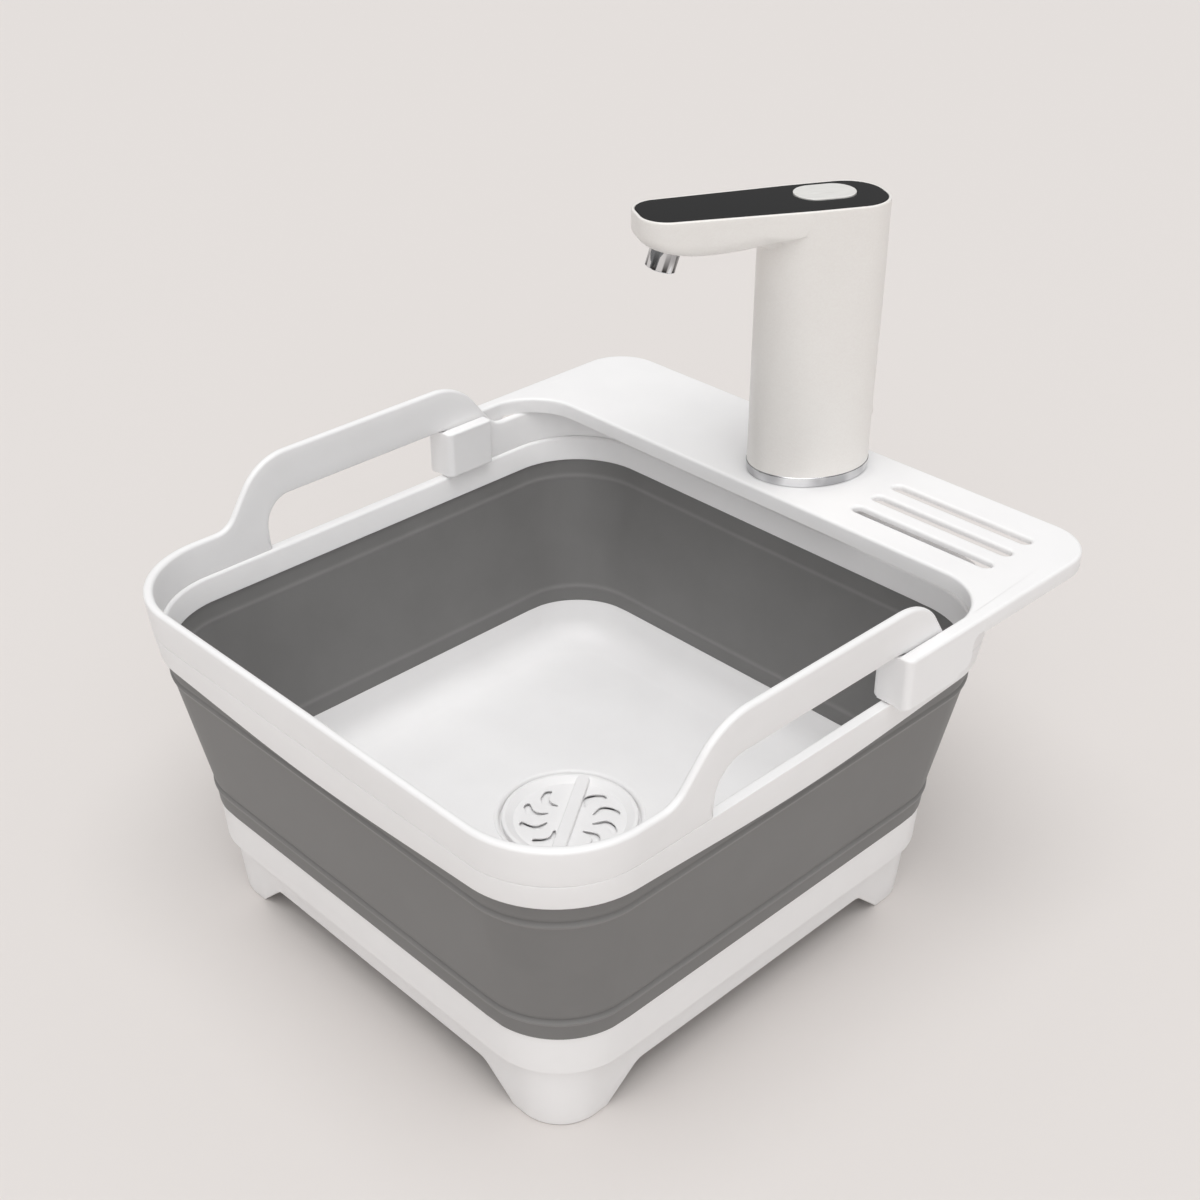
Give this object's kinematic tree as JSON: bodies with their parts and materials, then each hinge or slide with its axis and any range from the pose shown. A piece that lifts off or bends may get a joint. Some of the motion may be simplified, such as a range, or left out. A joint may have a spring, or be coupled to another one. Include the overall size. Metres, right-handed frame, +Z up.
{
  "type": "portable camping sink",
  "caption": "Square collapsible wash basin on corner feet with side handles, a twist strainer drain and a clip-on rear shelf that carries a swivelling battery pump tap.",
  "frame": {"origin": "middle of the overall length and width, on the ground the feet stand on", "axes": "+Z up, +Y from the user towards the shelf and tap, +X to the user's right"},
  "size_m": [0.3264, 0.3523, 0.3324],
  "materials": {
    "white_polypropylene": "satin moulded",
    "grey_elastomer": "matte moulded",
    "pearl_white_abs": "pearl satin",
    "black_gloss_panel": "gloss",
    "silver_button": "satin",
    "chrome_trim": "polished",
    "steel": "plain",
    "black_rubber": "matte",
    "dark_nylon": "moulded",
    "circuit_board": "lacquered",
    "motor_can": "plain",
    "cell_wrap": "film wrapped",
    "clear_silicone": "satin"
  },
  "bodies": {
    "base": {"base_tray": "white_polypropylene", "foot_skirt": "white_polypropylene", "wall_lower_band": "grey_elastomer", "drain_body": "white_polypropylene", "drain_gasket": "black_rubber", "drain_locknut": "white_polypropylene", "valve_plate": "white_polypropylene"},
    "wall": {"wall_middle_band": "grey_elastomer"},
    "rim": {"wall_upper_band": "grey_elastomer", "rim_lower_ring": "white_polypropylene", "rim_frame": "white_polypropylene", "shelf": "white_polypropylene"},
    "tap": {"tap_housing": "pearl_white_abs", "top_panel": "black_gloss_panel", "control_board": "circuit_board", "board_screws": "steel", "tact_switch": "dark_nylon", "base_ring": "chrome_trim", "base_plate": "dark_nylon", "hose_barb": "dark_nylon", "base_screws": "steel", "tap_washer": "black_rubber", "tap_locknut": "dark_nylon", "pump_housing": "dark_nylon", "pump_cover": "dark_nylon", "pump_motor": "motor_can", "battery_carrier": "dark_nylon", "battery_cell": "cell_wrap", "riser_tube": "clear_silicone", "nozzle": "chrome_trim", "nozzle_seal": "black_rubber", "aerator_screen": "steel", "charge_socket": "steel"},
    "button": {"power_button": "silver_button"},
    "rotor": {"impeller": "dark_nylon", "motor_shaft": "steel"},
    "strainer": {"strainer_disc": "white_polypropylene"},
    "cover": {"port_cover": "black_rubber"}
  },
  "joints": [
    {"name": "collapse", "type": "slide", "parent": "base", "child": "rim", "axis": [0, 0, 1], "range_m": [-0.09, 0]},
    {"name": "wall_fold", "type": "slide", "parent": "base", "child": "wall", "axis": [0, 0, 1], "range_m": [-0.045, 0]},
    {"name": "tap_swivel", "type": "hinge", "parent": "rim", "child": "tap", "pos_m": [0.011, 0.13835, 0.188], "axis": [0, 0, 1], "range_deg": [-61.5, 118.5]},
    {"name": "button_press", "type": "slide", "parent": "tap", "child": "button", "axis": [0, 0, -1], "range_m": [0, 0.0012], "stiffness_N_per_m": 800, "springref_m": -0.001},
    {"name": "rotor_spin", "type": "hinge", "parent": "tap", "child": "rotor", "pos_m": [0.011, 0.13835, 0.2], "axis": [0, 0, 1], "continuous": true},
    {"name": "strainer_twist", "type": "hinge", "parent": "base", "child": "strainer", "pos_m": [0, -0.02125, 0.044], "axis": [0, 0, 1], "range_deg": [0, 18]},
    {"name": "cover_hinge", "type": "hinge", "parent": "tap", "child": "cover", "pos_m": [0.0266, 0.16709, 0.2214], "axis": [0.8788, -0.4772, 0], "range_deg": [0, 110]}
  ],
  "couplings": [
    {"joint": "wall_fold", "follows": "collapse", "ratio": 0.5}
  ]
}
